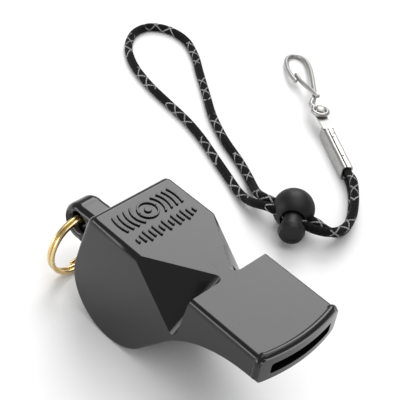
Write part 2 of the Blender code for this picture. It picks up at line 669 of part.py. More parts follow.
def build_clamp(surface):
    """Folded sheet: a crimped sleeve round both strands, and a tongue that carries the rivet."""
    direction = (RIVET_FOOT - CLAMP_MOUTH).normalized()
    turn = math.degrees(math.atan2(direction.y, direction.x))
    frame = level_frame(CLAMP_MOUTH, turn)
    bm = bmesh.new()
    chain = [bm.verts.new((x, 0.0, z)) for x, z in crimp_section()]
    edges = [bm.edges.new(pair) for pair in zip(chain, chain[1:])]
    swept = bmesh.ops.extrude_edge_only(bm, edges=edges)
    moved = [item for item in swept["geom"] if isinstance(item, bmesh.types.BMVert)]
    bmesh.ops.translate(bm, verts=moved, vec=(0.0, CRIMP_LENGTH, 0.0))
    clamp = link("crimp_clamp", mesh_from_bmesh("crimp_clamp", bm), part, frame)
    thick = clamp.modifiers.new("sheet", "SOLIDIFY")
    thick.thickness = SHEET
    thick.offset = 0.0

    total = (RIVET_FOOT - CLAMP_MOUTH).length
    slope = math.tan(math.radians(-HOOK_PITCH))
    top = CRIMP_HEIGHT
    bend = CRIMP_LENGTH - 1.2 * MM
    tongue_end = total + 1.6 * MM
    upper = [(bend, top), (CRIMP_LENGTH, top)]
    upper.append((tongue_end, top - (tongue_end - CRIMP_LENGTH) * slope))
    lower = [(y, z - SHEET) for y, z in upper[::-1]]
    side_on = frame @ Matrix.Rotation(math.radians(90.0), 4, "Z")
    strip = outline_mesh("tongue_strip", upper + lower, 1.3 * MM)
    tongue = link("tongue", strip, cutters, side_on)
    plan = stadium("tongue_plan", total - bend, 1.25 * MM, 12.0 * MM,
                   Matrix.Translation(Vector((bend, 0.0, CRIMP_HEIGHT)))
                   @ Matrix.Rotation(math.radians(90.0), 4, "X"))
    boolean(tongue, link("tongue_shape", plan, cutters, side_on), "INTERSECT")
    boolean(clamp, tongue, "UNION")
    hole = cylinder_mesh("rivet_hole", 0.65 * MM, 6.0 * MM, 20)
    boolean(clamp, link("rivet_hole", hole, cutters, hook_frame()), "DIFFERENCE")
    finish(clamp, surface)


def hook_frame():
    """Frame at the rivet: X along the hook towards its bend, Z along the rivet."""
    origin = RIVET_FOOT + Vector((0.0, 0.0, RIVET_HEIGHT))
    turn = Matrix.Rotation(math.radians(HOOK_HEADING), 4, "Z")
    pitch = Matrix.Rotation(math.radians(-HOOK_PITCH), 4, "Y")
    return Matrix.Translation(origin) @ turn @ pitch


def build_rivet(surface):
    """Swivel rivet: a low round head above the hook's eye, a shank, and a flared tail."""
    profile = [(0.0, 1.2), (0.6, 1.15), (1.15, 0.95), (1.35, 0.78), (1.3, 0.64), (0.6, 0.62),
               (0.55, 0.4), (0.55, -1.18), (0.95, -1.2), (0.95, -1.4), (0.7, -1.55), (0.0, -1.6)]
    rivet = turned_object("swivel_rivet", [(r * MM, z * MM) for r, z in profile], hook_frame(), part, 24)
    finish(rivet, surface)


def hook_points(places):
    frame = hook_frame()
    return [frame @ (Vector(place) * MM) for place in places]


def build_hook(surface):
    """Bent wire hook: eye, long leg, round bend and blunt tip, and its springing gate leg."""
    eye = []
    for index in range(13):
        angle = math.radians(62.0 + 236.0 * index / 12.0)
        eye.append((1.65 * math.cos(angle), -1.65 * math.sin(angle), 0.0))
    leg = [(3.3, 1.0, 0.0), (5.3, 0.3, 0.0), (8.0, -0.45, 0.0), (12.0, -1.1, 0.0), (17.0, -1.8, 0.0),
           (21.0, -2.1, 0.0), (23.6, -1.9, 0.0), (25.4, -1.1, 0.0), (26.2, 0.1, 0.0), (25.9, 1.4, 0.0),
           (24.7, 2.5, 0.0), (22.8, 3.2, 0.0), (20.4, 3.5, 0.0), (17.6, 3.5, 0.0),
           (15.2, 3.2, 0.0), (13.3, 2.75, 0.0)]
    start = [(4.3, -0.75, 0.9), (3.4, -1.3, 0.65), (2.1, -1.66, 0.25)]
    route, _ = smooth_route(hook_points(start + eye + leg), 0.75 * MM)
    finish(wire_object("hook_wire", route, HOOK_WIRE), surface)
    gate = [(4.55, -0.61, 0.98), (5.3, -0.2, 1.17), (7.0, 0.35, 1.12), (9.0, 0.9, 0.88),
            (11.5, 1.3, 0.35), (14.0, 1.65, 0.0), (17.2, 2.1, 0.0)]
    route, _ = smooth_route(hook_points(gate), 1.2 * MM)
    finish(wire_object("hook_gate", route, HOOK_WIRE * 0.92), surface)


def main():
    for obj in list(bpy.data.objects):
        bpy.data.objects.remove(obj)
    bpy.context.scene.collection.children.link(part)
    bpy.context.scene.collection.children.link(cutters)
    black = material("moulded_abs", (0.018, 0.018, 0.019), 0.16)
    satin = material("satin_nylon", (0.016, 0.016, 0.017), 0.42)
    brass = material("brass_wire", (0.62, 0.42, 0.16), 0.25, 1.0)
    nickel = material("nickel_plate", (0.62, 0.62, 0.60), 0.28, 1.0)
    steel = material("spring_wire", (0.45, 0.45, 0.46), 0.35, 1.0)
    weave = material("woven_cord", (0.012, 0.012, 0.013), 0.85)
    build_body(black)
    build_belly_plate(black)
    build_core(black)
    build_ring(brass)
    build_cord(weave)
    build_lock(satin, satin, steel)
    build_clamp(nickel)
    build_rivet(nickel)
    build_hook(nickel)


main()
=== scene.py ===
"""Looks for a pealess training whistle with a split ring and a loose looped lanyard.

Metres, +Z up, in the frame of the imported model.  The sections follow the object as it is put
together: stage, cord, moulding, ring, cord lock, clamp and hook.
"""

import json
import math

import bmesh
import bpy
from mathutils import Matrix, Vector


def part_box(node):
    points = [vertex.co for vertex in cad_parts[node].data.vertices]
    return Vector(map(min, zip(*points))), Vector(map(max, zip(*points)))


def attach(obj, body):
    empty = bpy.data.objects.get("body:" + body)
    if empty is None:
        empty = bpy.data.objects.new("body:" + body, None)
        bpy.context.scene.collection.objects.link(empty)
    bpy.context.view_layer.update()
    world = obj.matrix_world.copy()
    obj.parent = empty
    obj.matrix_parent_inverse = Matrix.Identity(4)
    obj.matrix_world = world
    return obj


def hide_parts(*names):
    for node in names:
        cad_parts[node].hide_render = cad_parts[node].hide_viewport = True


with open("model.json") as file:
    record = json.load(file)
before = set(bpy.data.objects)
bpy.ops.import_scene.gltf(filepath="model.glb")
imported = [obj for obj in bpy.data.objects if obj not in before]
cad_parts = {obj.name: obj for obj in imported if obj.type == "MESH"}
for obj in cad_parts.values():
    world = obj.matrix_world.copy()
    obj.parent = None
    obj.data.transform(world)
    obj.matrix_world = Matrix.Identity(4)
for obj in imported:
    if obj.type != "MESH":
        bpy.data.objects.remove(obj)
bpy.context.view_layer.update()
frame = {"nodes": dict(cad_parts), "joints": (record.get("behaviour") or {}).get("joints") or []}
MM = 0.001


# ---- Stage: camera, floor and lights -------------------------------------------------------
# A long lens looks down over the mouthpiece's right corner and is turned ten degrees.  A white
# card lies below, a panel stands behind on the left, a soft box hangs overhead, and a low wide
# strip in front lights the edges' fillets.
camera_data = bpy.data.cameras.new("camera")
camera_data.lens = 108.0
camera_data.sensor_width = 36.0
camera_data.clip_start = 0.01
camera = bpy.data.objects.new("camera", camera_data)
bpy.context.scene.collection.objects.link(camera)
look_at = Vector((-5.25, 8.83, 25.0)) * MM
stand = Vector((94.85, -116.15, 165.55)) * MM
turned = (look_at - stand).to_track_quat("-Z", "Y").to_matrix().to_4x4()
camera.matrix_world = Matrix.Translation(stand) @ turned @ Matrix.Rotation(math.radians(10.0), 4, "Z")
bpy.context.scene.camera = camera
bpy.context.scene.view_settings.view_transform = "Standard"


def srgb(code):
    """A hex colour such as #1b1b1c, as the linear colour that a shader takes."""
    parts = [int(code[place:place + 2], 16) / 255.0 for place in (1, 3, 5)]
    linear = [part / 12.92 if part <= 0.04045 else ((part + 0.055) / 1.055) ** 2.4 for part in parts]
    return (*linear, 1.0)


def node(tree, kind, inputs=None, **settings):
    """Adds a shader node with its settings, and links or sets its inputs."""
    made = tree.nodes.new(kind)
    for name, value in settings.items():
        setattr(made, name, value)
    for name, value in (inputs or {}).items():
        if isinstance(value, bpy.types.NodeSocket):
            tree.links.new(value, made.inputs[name])
        else:
            made.inputs[name].default_value = value
    return made


def blank_material(name):
    """A new material with its shader, ready for nodes."""
    made = bpy.data.materials.new(name)
    made.use_nodes = True
    return made, made.node_tree, made.node_tree.nodes["Principled BSDF"]


# White card: matt, with the faint mottling of paper.
white_card, tree, shader = blank_material("white_card")
place = node(tree, "ShaderNodeTexCoord")
mottle = node(tree, "ShaderNodeTexNoise", {"Vector": place.outputs["Object"], "Scale": 40.0})
tone = node(tree, "ShaderNodeMix", {"Factor": mottle.outputs["Fac"], 6: srgb("#f4f4f4"), 7: srgb("#fbfbfb")},
            data_type="RGBA")
tree.links.new(tone.outputs[2], shader.inputs["Base Color"])
shader.inputs["Roughness"].default_value = 0.9
shader.inputs["Specular IOR Level"].default_value = 0.1
bpy.ops.object.select_all(action="DESELECT")
bpy.ops.mesh.primitive_plane_add(size=4.0, location=(0.0, 0.0, 0.0))
floor = bpy.context.active_object
floor.name = "floor_card"
floor.data.materials.append(white_card)


def soft_box(name, direction, distance, width, height, radiance):
    """A rectangular area light that faces the object, given by how bright its face looks."""
    data = bpy.data.lights.new(name, "AREA")
    data.shape = "RECTANGLE"
    data.size = width
    data.size_y = height
    data.energy = radiance * math.pi * width * height
    light = bpy.data.objects.new(name, data)
    bpy.context.scene.collection.objects.link(light)
    spot = look_at + Vector(direction).normalized() * distance
    aimed = (look_at - spot).to_track_quat("-Z", "Y").to_matrix().to_4x4()
    light.matrix_world = Matrix.Translation(spot) @ aimed


soft_box("panel_left", (-0.47, 0.59, 0.66), 1.0, 0.6, 0.6, 5.0)
soft_box("overhead", (0.15, 0.1, 1.0), 1.3, 1.3, 1.3, 1.7)
soft_box("low_strip", (-0.42, -0.87, 0.2), 0.8, 0.9, 0.26, 4.5)
world = bpy.data.worlds.new("studio")
world.use_nodes = True
world.node_tree.nodes["Background"].inputs["Color"].default_value = srgb("#ffffff")
world.node_tree.nodes["Background"].inputs["Strength"].default_value = 0.42
bpy.context.scene.world = world


# ---- Lanyard cord ---------------------------------------------------------------------------
# Limp round braid, 1.9 mm thick: black polyester yarns woven over and under, with a pale tracer.
# Both ends go into the crimp clamp and the doubled cord runs through the lock.
CORD_DIAMETER = 1.9 * MM
LOCK_CENTRE = Vector((-6.3, 40.9, 4.45)) * MM
PLUNGER_HEADING = -52.0
CORD_HEADING = 14.0
STRAND_OFFSET = 1.05 * MM
CORD_HOLE_FORWARD = 1.9 * MM
CLAMP_MOUTH = Vector((-8.65, 61.63, 0.0)) * MM
CRIMPED_SHARE = 0.735
LOOP = [(-13.0, 39.0, 3.9), (-15.6, 40.2, 2.6), (-18.6, 42.2, 1.5), (-21.8, 44.1, 1.05),
        (-26.0, 46.0, 1.0), (-33.0, 48.6, 1.0), (-40.6, 52.4, 1.0), (-47.4, 57.0, 1.0),
        (-54.4, 61.8, 1.0),
        (-60.2, 65.8, 1.0), (-66.2, 68.4, 1.0), (-71.7, 67.9, 1.0), (-75.2, 64.9, 1.0),
        (-75.5, 60.4, 1.0), (-72.4, 55.4, 1.0), (-66.8, 51.5, 1.0), (-58.8, 48.8, 1.0),
        (-49.8, 47.4, 1.0), (-43.3, 46.5, 1.0), (-37.2, 45.0, 1.0), (-29.6, 42.3, 1.0),
        (-23.5, 40.1, 1.0), (-19.2, 38.4, 1.3), (-15.6, 37.3, 2.1), (-12.6, 36.7, 3.6)]


def heading(degrees):
    """A level unit vector at an angle from +X towards +Y."""
    return Vector((math.cos(math.radians(degrees)), math.sin(math.radians(degrees)), 0.0))


def strand(level):
    """One strand from the lock to the clamp: level is +1 for the upper one, -1 for the lower."""
    middle = [(1.6, 41.7, 4.0), (2.7, 43.5, 3.3), (3.0, 45.7, 2.65), (2.6, 48.2, 2.15),
              (1.5, 51.0, 2.0), (-0.4, 54.0, 2.0), (-2.8, 57.0, 2.0), (-5.7, 59.9, 2.0),
              (-8.65, 61.63, 1.875), (-15.6, 65.75, 1.875)]
    apart = [(0.62, -0.72, 0.42), (0.62, -0.35, 0.75), (0.45, -0.1, 0.93), (0.3, -0.2, 0.97),
             (0.3, -0.3, 0.95), (0.25, -0.25, 0.97), (0.15, -0.15, 1.0), (0.0, 0.0, 1.01),
             (0.0, 0.0, 0.725), (0.0, 0.0, 0.725)]
    return [(Vector(spot) + Vector(offset) * level) * MM for spot, offset in zip(middle, apart)]


def cord_route():
    """Clamp, lower strand, lock, loop, lock, upper strand and clamp again."""
    forward = heading(CORD_HEADING)
    across = heading(CORD_HEADING - 90.0) * STRAND_OFFSET
    hole = LOCK_CENTRE + heading(PLUNGER_HEADING) * CORD_HOLE_FORWARD
    through = [forward * reach * MM for reach in (5.0, 4.2, 1.5, -1.5, -4.4, -5.2)]
    route = strand(-1.0)[::-1]
    route += [hole - across + run for run in through]
    route += [Vector(spot) * MM for spot in LOOP]
    route += [hole + across + run for run in through[::-1]]
    return route + strand(1.0)


def smooth_route(points, step):
    """Even points along a centripetal Catmull-Rom curve through a given route."""
    ends = [points[0] * 2 - points[1]] + points + [points[-1] * 2 - points[-2]]
    dense = []
    for p0, p1, p2, p3 in zip(ends, ends[1:], ends[2:], ends[3:]):
        t1 = (p1 - p0).length ** 0.5
        t2 = t1 + (p2 - p1).length ** 0.5
        t3 = t2 + (p3 - p2).length ** 0.5
        for part_way in range(12):
            t = t1 + (t2 - t1) * part_way / 12
            a1 = p0 * ((t1 - t) / t1) + p1 * (t / t1)
            a2 = p1 * ((t2 - t) / (t2 - t1)) + p2 * ((t - t1) / (t2 - t1))
            a3 = p2 * ((t3 - t) / (t3 - t2)) + p3 * ((t - t2) / (t3 - t2))
            b1 = a1 * ((t2 - t) / t2) + a2 * (t / t2)
            b2 = a2 * ((t3 - t) / (t3 - t1)) + a3 * ((t - t1) / (t3 - t1))
            dense.append(b1 * ((t2 - t) / (t2 - t1)) + b2 * ((t - t1) / (t2 - t1)))
    dense.append(points[-1])
    length = sum((b - a).length for a, b in zip(dense, dense[1:]))
    count = round(length / step)
    even = [dense[0]]
    travelled = 0.0
    for a, b in zip(dense, dense[1:]):
        span = (b - a).length
        while len(even) < count and travelled + span >= length * len(even) / count:
            even.append(a.lerp(b, (length * len(even) / count - travelled) / span))
        travelled += span
    even.append(dense[-1])
    return even, length


def cord_mesh(name, path, radii, sides):
    """A closed tube along a path.  Its UV runs once round the cord, and along it in metres."""
    bm = bmesh.new()
    layer = bm.loops.layers.uv.new("weave")
    normal = (path[1] - path[0]).orthogonal().normalized()
    rings, travel = [], [0.0]
    for index, spot in enumerate(path):
        ahead = path[min(index + 1, len(path) - 1)] - path[max(index - 1, 0)]
        ahead.normalize()
        normal = (normal - ahead * normal.dot(ahead)).normalized()
        side = ahead.cross(normal)
        if index:
            travel.append(travel[-1] + (spot - path[index - 1]).length)
        turn = [2.0 * math.pi * k / sides for k in range(sides)]
        rings.append([bm.verts.new(spot + (normal * math.cos(a) + side * math.sin(a)) * radii[index])
                      for a in turn])
    for index in range(len(path) - 1):
        for k in range(sides):
            after = (k + 1) % sides
            face = bm.faces.new((rings[index][k], rings[index][after],
                                 rings[index + 1][after], rings[index + 1][k]))
            spots = ((k, index), (k + 1, index), (k + 1, index + 1), (k, index + 1))
            for loop, (around, along) in zip(face.loops, spots):
                loop[layer].uv = (around / sides, travel[along])
    bm.faces.new(rings[0][::-1])
    bm.faces.new(rings[-1])
    mesh = bpy.data.meshes.new(name)
    bm.to_mesh(mesh)
    bm.free()
    made = bpy.data.objects.new(name, mesh)
    bpy.context.scene.collection.objects.link(made)
    mesh.shade_smooth()
    return made


cord_path, cord_length = smooth_route(cord_route(), 0.7 * MM)
squeezed = (Vector((-15.6, 65.75, 0.0)) * MM - CLAMP_MOUTH).length
cord_radii = []
for index in range(len(cord_path)):
    here = cord_length * index / (len(cord_path) - 1)
    opened = min(1.0, max(0.0, (min(here, cord_length - here) - squeezed) / (4.0 * MM)))
    cord_radii.append(CORD_DIAMETER / 2.0 * (CRIMPED_SHARE + (1.0 - CRIMPED_SHARE) * opened))
cord = cord_mesh("woven_lanyard_cord", cord_path, cord_radii, 32)

# Braided polyester: yarns 0.75 mm wide cross at 45 degrees, so each shows as a short plump float.
# The base colour is painted darker in the gap round each float and lighter on its crown: painted shade and
# painted highlight.
# The tracer shows as a thin pale zigzag in groups 9 mm long.
braid, tree, shader = blank_material("braided_polyester")
weave = node(tree, "ShaderNodeUVMap", uv_map="weave")
parts = node(tree, "ShaderNodeSeparateXYZ", {"Vector": weave.outputs["UV"]})
YARNS = 8.0
around = node(tree, "ShaderNodeMath", {0: parts.outputs["X"], 1: YARNS}, operation="MULTIPLY")
along = node(tree, "ShaderNodeMath", {0: parts.outputs["Y"], 1: 1.0 / (1.05 * MM)}, operation="MULTIPLY")
left_lay = node(tree, "ShaderNodeMath", {0: along.outputs[0], 1: around.outputs[0]}, operation="ADD")
right_lay = node(tree, "ShaderNodeMath", {0: along.outputs[0], 1: around.outputs[0]}, operation="SUBTRACT")
plump, counts = [], []
for lay in (left_lay, right_lay):
    turn = node(tree, "ShaderNodeMath", {0: lay.outputs[0], 1: math.pi}, operation="MULTIPLY")
    wave = node(tree, "ShaderNodeMath", {0: turn.outputs[0]}, operation="SINE")
    plump.append(node(tree, "ShaderNodeMath", {0: wave.outputs[0]}, operation="ABSOLUTE"))
    counts.append(node(tree, "ShaderNodeMath", {0: lay.outputs[0]}, operation="FLOOR"))
both = node(tree, "ShaderNodeMath", {0: counts[0].outputs[0], 1: counts[1].outputs[0]}, operation="ADD")
on_top = node(tree, "ShaderNodeMath", {0: both.outputs[0], 1: 2.0}, operation="FLOORED_MODULO")
# Yarn height: it drives the bump, and also the painted shade and painted highlight in the base colour below.
height = node(tree, "ShaderNodeMix", {"Factor": on_top.outputs[0], 2: plump[0].outputs[0],
                                      3: plump[1].outputs[0]}, data_type="FLOAT")
TRACER_RUN = 1.9 * MM
TRACER_SHARE = 0.25
zig = node(tree, "ShaderNodeMath", {0: parts.outputs["Y"], 1: TRACER_RUN}, operation="PINGPONG")
zag = node(tree, "ShaderNodeMath", {0: parts.outputs["X"], 1: TRACER_SHARE}, operation="PINGPONG")
zag_run = node(tree, "ShaderNodeMath", {0: zag.outputs[0], 1: TRACER_RUN / TRACER_SHARE},
               operation="MULTIPLY")
apart = node(tree, "ShaderNodeMath", {0: zig.outputs[0], 1: zag_run.outputs[0]}, operation="SUBTRACT")
off_line = node(tree, "ShaderNodeMath", {0: apart.outputs[0]}, operation="ABSOLUTE")
shown = node(tree, "ShaderNodeMath", {0: off_line.outputs[0], 1: 0.26 * MM}, operation="LESS_THAN")
group = node(tree, "ShaderNodeMath", {0: parts.outputs["Y"], 1: 14.0 * MM}, operation="FLOORED_MODULO")
in_group = node(tree, "ShaderNodeMath", {0: group.outputs[0], 1: 9.0 * MM}, operation="LESS_THAN")
traced = node(tree, "ShaderNodeMath", {0: shown.outputs[0], 1: in_group.outputs[0]}, operation="MULTIPLY")
fibres = node(tree, "ShaderNodeTexNoise", {"Vector": weave.outputs["UV"], "Scale": 900.0, "Detail": 2.0})
# Black yarn and pale tracer, each painted darker in the gaps and lighter on the crowns by yarn height:
# painted shade and painted highlight.
black_yarn_painted_shade = node(tree, "ShaderNodeMix", {"Factor": height.outputs[0], 6: srgb("#030303"), 7: srgb("#101011")},
            data_type="RGBA")
tracer_painted_shade = node(tree, "ShaderNodeMix", {"Factor": height.outputs[0], 6: srgb("#4a4a4a"), 7: srgb("#a0a0a0")},
            data_type="RGBA")
yarn = node(tree, "ShaderNodeMix", {"Factor": traced.outputs[0], 6: black_yarn_painted_shade.outputs[2], 7: tracer_painted_shade.outputs[2]},
            data_type="RGBA")
tree.links.new(yarn.outputs[2], shader.inputs["Base Color"])
relief = node(tree, "ShaderNodeMath", {0: fibres.outputs["Fac"], 1: 0.25, 2: height.outputs[0]},
              operation="MULTIPLY_ADD")
bump = node(tree, "ShaderNodeBump", {"Height": relief.outputs[0], "Strength": 0.8, "Distance": 0.12 * MM})
tree.links.new(bump.outputs["Normal"], shader.inputs["Normal"])
shader.inputs["Roughness"].default_value = 0.85
shader.inputs["Specular IOR Level"].default_value = 0.15
shader.inputs["Sheen Weight"].default_value = 0.05
shader.inputs["Sheen Roughness"].default_value = 0.4
cord.data.materials.append(braid)
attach(cord, "lanyard")
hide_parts("lanyard_cord")


# ---- Whistle moulding -----------------------------------------------------------------------
# One glossy black ABS moulding carries the roof, walls, ring lug and mouthpiece.  Two slanted
# notches behind the mouthpiece let the side chambers speak, and a bead helps the teeth to grip.
low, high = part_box("whistle_body")
LUG_END = 13.8 * MM
roof_edge = Vector((low.x + LUG_END, (low.y + high.y) / 2.0, 24.4 * MM))
BODY_WIDTH = 19.0 * MM
BODY_REACH = 42.7 * MM
FRONT_BULGE = 1.3 * MM
WALL = 1.6 * MM


def draw_outline(name, start, moves):
    """Draws a side outline in edit mode: a line extrudes the last point, an arc spins it."""
    bpy.ops.object.select_all(action="DESELECT")
    bpy.ops.mesh.primitive_plane_add(size=0.01, location=(start[0] * MM, 0.0, start[1] * MM))
    piece = bpy.context.active_object
    piece.name = name
    bpy.ops.object.transform_apply(location=True)
    bpy.ops.object.mode_set(mode="EDIT")
    bpy.ops.mesh.select_mode(type="VERT")
    bpy.ops.mesh.select_all(action="SELECT")
    bpy.ops.mesh.merge(type="CENTER")
    here = Vector((start[0], 0.0, start[1])) * MM
    for move in moves:
        if move[0] == "line":
            there = Vector((move[1], 0.0, move[2])) * MM
            bpy.ops.mesh.extrude_region_move(TRANSFORM_OT_translate={"value": there - here})
            here = there
        else:
            _, centre_x, centre_z, degrees, steps = move
            centre = Vector((centre_x, 0.0, centre_z)) * MM
            bpy.ops.mesh.spin(steps=steps, angle=math.radians(degrees), center=centre, axis=(0, 1, 0))
            here = centre + Matrix.Rotation(math.radians(-degrees), 3, "Y") @ (here - centre)
    bpy.ops.mesh.select_all(action="SELECT")
    bpy.ops.mesh.remove_doubles(threshold=0.005 * MM)
    bpy.ops.mesh.edge_face_add()
    bpy.ops.object.mode_set(mode="OBJECT")
    return piece


def thicken(piece, half):
    """Extrudes a drawn outline to both sides along Y."""
    bpy.ops.object.select_all(action="DESELECT")
    bpy.context.view_layer.objects.active = piece
    piece.select_set(True)
    bpy.ops.object.mode_set(mode="EDIT")
    bpy.ops.mesh.select_all(action="SELECT")
    bpy.ops.transform.translate(value=(0.0, -half, 0.0))
    bpy.ops.mesh.extrude_region_move(TRANSFORM_OT_translate={"value": (0.0, 2.0 * half, 0.0)})
    bpy.ops.mesh.select_all(action="SELECT")
    bpy.ops.mesh.normals_make_consistent(inside=False)
    bpy.ops.object.mode_set(mode="OBJECT")
    return piece


def apply_all(piece):
    """Applies every modifier on a piece."""
    bpy.ops.object.select_all(action="DESELECT")
    bpy.context.view_layer.objects.active = piece
    piece.select_set(True)
    for modifier in list(piece.modifiers):
        bpy.ops.object.modifier_apply(modifier=modifier.name)


def cut(piece, tool, operation="DIFFERENCE"):
    """Cuts, joins or trims a piece with another, which is used up."""
    modifier = piece.modifiers.new("cut", "BOOLEAN")
    modifier.operation = operation
    modifier.object = tool
    modifier.solver = "EXACT"
    apply_all(piece)
    bpy.data.objects.remove(tool)


def block(name, lowest, highest):
    """A box between two corners, in millimetres."""
    bpy.ops.object.select_all(action="DESELECT")
    size = [b - a for a, b in zip(lowest, highest)]
    middle = [(a + b) / 2.0 * MM for a, b in zip(lowest, highest)]
    bpy.ops.mesh.primitive_cube_add(size=MM, location=middle, scale=size)
    bpy.ops.object.transform_apply(location=True, scale=True)
    bpy.context.active_object.name = name
    return bpy.context.active_object


def soften(piece, width, segments, degrees=30.0):
    """Rounds a piece's sharp edges."""
    modifier = piece.modifiers.new("soft", "BEVEL")
    modifier.width = width
    modifier.segments = segments
    modifier.limit_method = "ANGLE"
    modifier.angle_limit = math.radians(degrees)
    apply_all(piece)


def smooth(piece, degrees=35.0):
    """Shades a piece smooth up to an angle, and keeps its flat faces flat."""
    bpy.ops.object.select_all(action="DESELECT")
    bpy.context.view_layer.objects.active = piece
    piece.select_set(True)
    bpy.ops.object.shade_smooth_by_angle(angle=math.radians(degrees))
    even = piece.modifiers.new("even", "WEIGHTED_NORMAL")
    even.keep_sharp = True
    apply_all(piece)


def settle(piece, matrix):
    """Puts a finished piece in its place, with the place held in its mesh."""
    piece.data.transform(matrix)
    piece.matrix_world = Matrix.Identity(4)


moulding = draw_outline("whistle_moulding", (1.15, 0.0), [
    ("arc", 1.15, -1.7, 79.0, 12),
    ("line", -2.611, -12.135),
    ("arc", 7.5, -14.1, 154.0, 78),
    ("line", 20.2, -14.9),
    ("arc", 20.2 + 19.167, -14.9 - 14.444, -49.0, 36),
    ("line", 45.0, -5.0),
    ("line", 45.0, 0.0)])
thicken(moulding, BODY_WIDTH / 2.0)
bm = bmesh.new()
bm.from_mesh(moulding.data)
weight = bm.edges.layers.float.new("bevel_weight_edge")
for edge in bm.edges:
    ends = [vert.co for vert in edge.verts]
    if all(abs(abs(end.y) - BODY_WIDTH / 2.0) < 1e-6 for end in ends) and ends[0].y * ends[1].y > 0.0:
        depth = min(1.0, max(0.0, -(ends[0].z + ends[1].z) / 2.0 / (4.5 * MM)))
        edge[weight] = 1.0 - depth * 2.0 / 3.0
bm.to_mesh(moulding.data)
bm.free()
rim = moulding.modifiers.new("rim", "BEVEL")
rim.width = 1.5 * MM
rim.segments = 8
rim.limit_method = "WEIGHT"
apply_all(moulding)

plan_radius = (BODY_WIDTH ** 2 / 4.0 + FRONT_BULGE ** 2) / (2.0 * FRONT_BULGE)
bpy.ops.object.select_all(action="DESELECT")
bpy.ops.mesh.primitive_cylinder_add(vertices=360, radius=plan_radius, depth=0.1,
                                    location=(BODY_REACH - plan_radius, 0.0, 0.0))
cut(moulding, bpy.context.active_object, "INTERSECT")

lug = draw_outline("lug", (-1.5, -8.4), [
    ("line", -9.24, -8.94), ("arc", -9.8, -12.9, 196.0, 40), ("line", -2.2, -17.4)])
thicken(lug, 3.0 * MM)
soften(lug, 1.5 * MM, 8, 60.0)
cut(moulding, lug, "UNION")


def wire(name, points, radius, shares=None, sides=6):
    """A round wire along a list of points, made as a bevelled curve and turned into a mesh."""
    data = bpy.data.curves.new(name, "CURVE")
    data.dimensions = "3D"
    data.bevel_depth = radius
    data.bevel_resolution = sides
    data.use_fill_caps = True
    line = data.splines.new("POLY")
    line.points.add(len(points) - 1)
    for index, (point, spot) in enumerate(zip(line.points, points)):
        point.co = (*spot, 1.0)
        point.radius = shares[index] if shares else 1.0
    made = bpy.data.objects.new(name, data)
    bpy.context.scene.collection.objects.link(made)
    bpy.ops.object.select_all(action="DESELECT")
    bpy.context.view_layer.objects.active = made
    made.select_set(True)
    bpy.ops.object.convert(target="MESH")
    made = bpy.context.active_object
    bpy.ops.object.mode_set(mode="EDIT")
    bpy.ops.mesh.select_all(action="SELECT")
    bpy.ops.mesh.remove_doubles(threshold=0.002 * MM)
    bpy.ops.mesh.normals_make_consistent(inside=False)
    bpy.ops.object.mode_set(mode="OBJECT")
    return made


BEAD_RADIUS = 0.72 * MM
BEAD_SINK = 0.22 * MM
BEAD_SETBACK = 0.95 * MM
bead_half = BODY_WIDTH / 2.0 - BEAD_SINK
bead_path = []
for index in range(25):
    y = (BODY_WIDTH / 2.0 - 1.5 * MM) * (index / 12.0 - 1.0)
    bead_path.append(Vector((BODY_REACH - BEAD_SETBACK - y * y / (2.0 * plan_radius), y, -BEAD_SINK)))
edge_x = BODY_REACH - BEAD_SETBACK - bead_half ** 2 / (2.0 * plan_radius)
bend_radius = 1.5 * MM - BEAD_SINK
for hand in (-1.0, 1.0):
    bend = []
    for degrees in (15.0, 30.0, 45.0, 60.0, 75.0, 90.0):
        y = BODY_WIDTH / 2.0 - 1.5 * MM + bend_radius * math.sin(math.radians(degrees))
        z = -1.5 * MM + bend_radius * math.cos(math.radians(degrees))
        bend.append(Vector((edge_x, hand * y, z)))
    bend.append(Vector((edge_x, hand * bead_half, -4.3 * MM)))
    bead_path = bend[::-1] + bead_path if hand < 0.0 else bead_path + bend
bead = wire("bead", bead_path, BEAD_RADIUS, sides=8)
cut(moulding, bead, "UNION")


def notch(name, hand, depth, fillet):
    """The wedge between a notch's slanted face and the mouthpiece's back wall, set in by a depth."""
    piece = block(name, (4.0, min(0.05 * hand, 30.0 * hand), -30.0),
                  (34.0, max(0.05 * hand, 30.0 * hand), 6.0))
    slant = Vector((0.472, 0.7295 * hand, 0.494)).normalized()
    wall = Vector((1.0, 0.0, -0.16)).normalized()
    bpy.ops.object.mode_set(mode="EDIT")
    bpy.ops.mesh.select_all(action="SELECT")
    bpy.ops.mesh.bisect(plane_co=slant * (12.236 * MM / 1.0 - depth), plane_no=slant, use_fill=True,
                        clear_inner=True)
    bpy.ops.mesh.select_all(action="SELECT")
    bpy.ops.mesh.bisect(plane_co=(25.0 * MM + depth, 0.0, 0.0), plane_no=wall, use_fill=True,
                        clear_outer=True)
    bpy.ops.mesh.select_all(action="SELECT")
    bpy.ops.mesh.normals_make_consistent(inside=False)
    if fillet:
        bpy.ops.mesh.select_all(action="DESELECT")
        bpy.ops.mesh.select_mode(type="EDGE")
        edit = bmesh.from_edit_mesh(piece.data)
        for edge in edit.edges:
            sides = [face.normal for face in edge.link_faces]
            edge.select = (any(side.dot(slant) < -0.999 for side in sides)
                           and any(side.dot(wall) > 0.999 for side in sides))
        bmesh.update_edit_mesh(piece.data)
        bpy.ops.mesh.bevel(offset=fillet, segments=10, profile=0.5, affect="EDGES")
    bpy.ops.object.mode_set(mode="OBJECT")
    return piece


for hand in (-1.0, 1.0):
    cut(moulding, notch("notch", hand, 0.0, 1.9 * MM))

